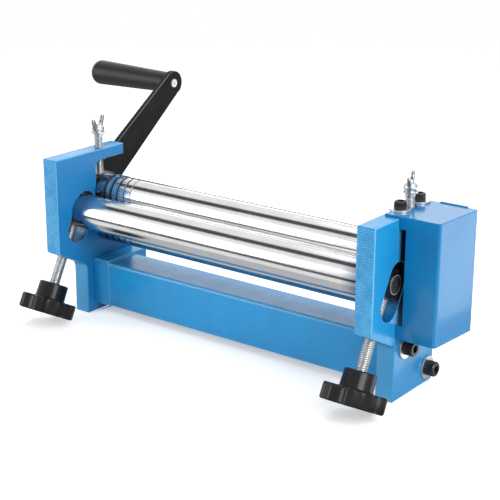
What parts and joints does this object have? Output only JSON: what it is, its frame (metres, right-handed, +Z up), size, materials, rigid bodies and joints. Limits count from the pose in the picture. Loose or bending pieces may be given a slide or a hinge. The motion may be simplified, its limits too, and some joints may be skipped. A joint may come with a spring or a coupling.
{
  "type": "bench slip roll",
  "caption": "Bench slip roll with crank, geared rear rollers with wire grooves, inclined front roller on knobbed screws, and a sheet gear cover.",
  "frame": {"origin": "on the floor, midway between the side plates and at the middle of their feet from front to back", "axes": "+X along the rollers towards the gear cover, +Y to the back, +Z up"},
  "size_m": [0.5235, 0.2589, 0.2039],
  "materials": {
    "blue_paint": "blue enamel over a cast and machined surface",
    "cover_paint": "smooth glossy blue enamel on folded sheet",
    "polished_steel": "ground and polished roller steel",
    "gear_steel": "cut gear steel, lightly oiled",
    "bronze": "plain turned bearing bronze",
    "black_oxide": "black oxide steel",
    "black_paint": "semi-matte black coating",
    "black_plastic": "moulded black plastic with a slight sheen",
    "zinc": "bright zinc plating",
    "bright_steel": "bright turned steel"
  },
  "bodies": {
    "frame": {"base_beam": "blue_paint", "left_side_plate": "blue_paint", "right_side_plate": "blue_paint", "left_lower_bush": "bronze", "right_lower_bush": "bronze", "gear_cover": "cover_paint", "cover_screws": "black_oxide", "cover_washers": "zinc", "left_beam_bolts": "black_oxide", "right_beam_bolts": "black_oxide", "left_beam_washers": "zinc", "right_beam_washers": "zinc"},
    "drive": {"lower_roller": "polished_steel", "lower_gear": "gear_steel", "lower_gear_key": "gear_steel", "lower_gear_screw": "black_oxide", "lower_gear_washer": "zinc", "crank_arm": "black_paint", "crank_set_screw": "black_oxide", "grip_pin": "bright_steel"},
    "grip": {"crank_grip": "black_plastic"},
    "upper_carriage": {"left_upper_block": "black_oxide", "right_upper_block": "black_oxide"},
    "upper_spindle": {"upper_roller": "polished_steel", "upper_gear": "gear_steel", "upper_gear_key": "gear_steel", "upper_gear_screw": "black_oxide", "upper_gear_washer": "zinc"},
    "left_hold_down": {"left_wing_bolt": "zinc"},
    "right_hold_down": {"right_wing_bolt": "zinc"},
    "front_carriage": {"left_front_block": "black_oxide", "right_front_block": "black_oxide"},
    "front_spindle": {"front_roller": "polished_steel"},
    "left_adjuster": {"left_adjust_screw": "zinc", "left_adjust_knob": "black_plastic"},
    "right_adjuster": {"right_adjust_screw": "zinc", "right_adjust_knob": "black_plastic"}
  },
  "joints": [
    {"name": "drive_spin", "type": "hinge", "parent": "frame", "child": "drive", "pos_m": [0, -0.0025, 0.0835], "axis": [1, 0, 0], "continuous": true},
    {"name": "grip_spin", "type": "hinge", "parent": "drive", "child": "grip", "pos_m": [-0.256, 0.143, 0.19116], "axis": [1, 0, 0], "continuous": true},
    {"name": "upper_lift", "type": "slide", "parent": "frame", "child": "upper_carriage", "axis": [0, 0, 1], "range_m": [0, 0.002]},
    {"name": "upper_roller_spin", "type": "hinge", "parent": "upper_carriage", "child": "upper_spindle", "pos_m": [0, -0.0025, 0.1161], "axis": [1, 0, 0], "continuous": true},
    {"name": "left_wing_turn", "type": "hinge", "parent": "upper_carriage", "child": "left_hold_down", "pos_m": [-0.1685, -0.0025, 0.17], "axis": [0, 0, 1], "range_deg": [0, 577]},
    {"name": "right_wing_turn", "type": "hinge", "parent": "upper_carriage", "child": "right_hold_down", "pos_m": [0.1685, -0.0025, 0.17], "axis": [0, 0, 1], "range_deg": [0, 577]},
    {"name": "front_adjust", "type": "slide", "parent": "frame", "child": "front_carriage", "axis": [0, 0.4695, 0.8829], "range_m": [-0.009, 0.002]},
    {"name": "front_roller_spin", "type": "hinge", "parent": "front_carriage", "child": "front_spindle", "pos_m": [0, -0.03355, 0.10239], "axis": [1, 0, 0], "continuous": true},
    {"name": "left_adjuster_turn", "type": "hinge", "parent": "front_carriage", "child": "left_adjuster", "pos_m": [-0.1685, -0.042, 0.0865], "axis": [0, 0.4695, 0.8829], "range_deg": [-2161, 481]},
    {"name": "right_adjuster_turn", "type": "hinge", "parent": "front_carriage", "child": "right_adjuster", "pos_m": [0.1685, -0.042, 0.0865], "axis": [0, 0.4695, 0.8829], "range_deg": [-2161, 481]}
  ],
  "couplings": [
    {"joint": "upper_roller_spin", "follows": "drive_spin", "ratio": -1},
    {"joint": "left_wing_turn", "follows": "upper_lift", "rad_per_m": 5026.5},
    {"joint": "right_wing_turn", "follows": "upper_lift", "rad_per_m": 5026.5},
    {"joint": "left_adjuster_turn", "follows": "front_adjust", "rad_per_m": 4188.8},
    {"joint": "right_adjuster_turn", "follows": "front_adjust", "rad_per_m": 4188.8}
  ]
}
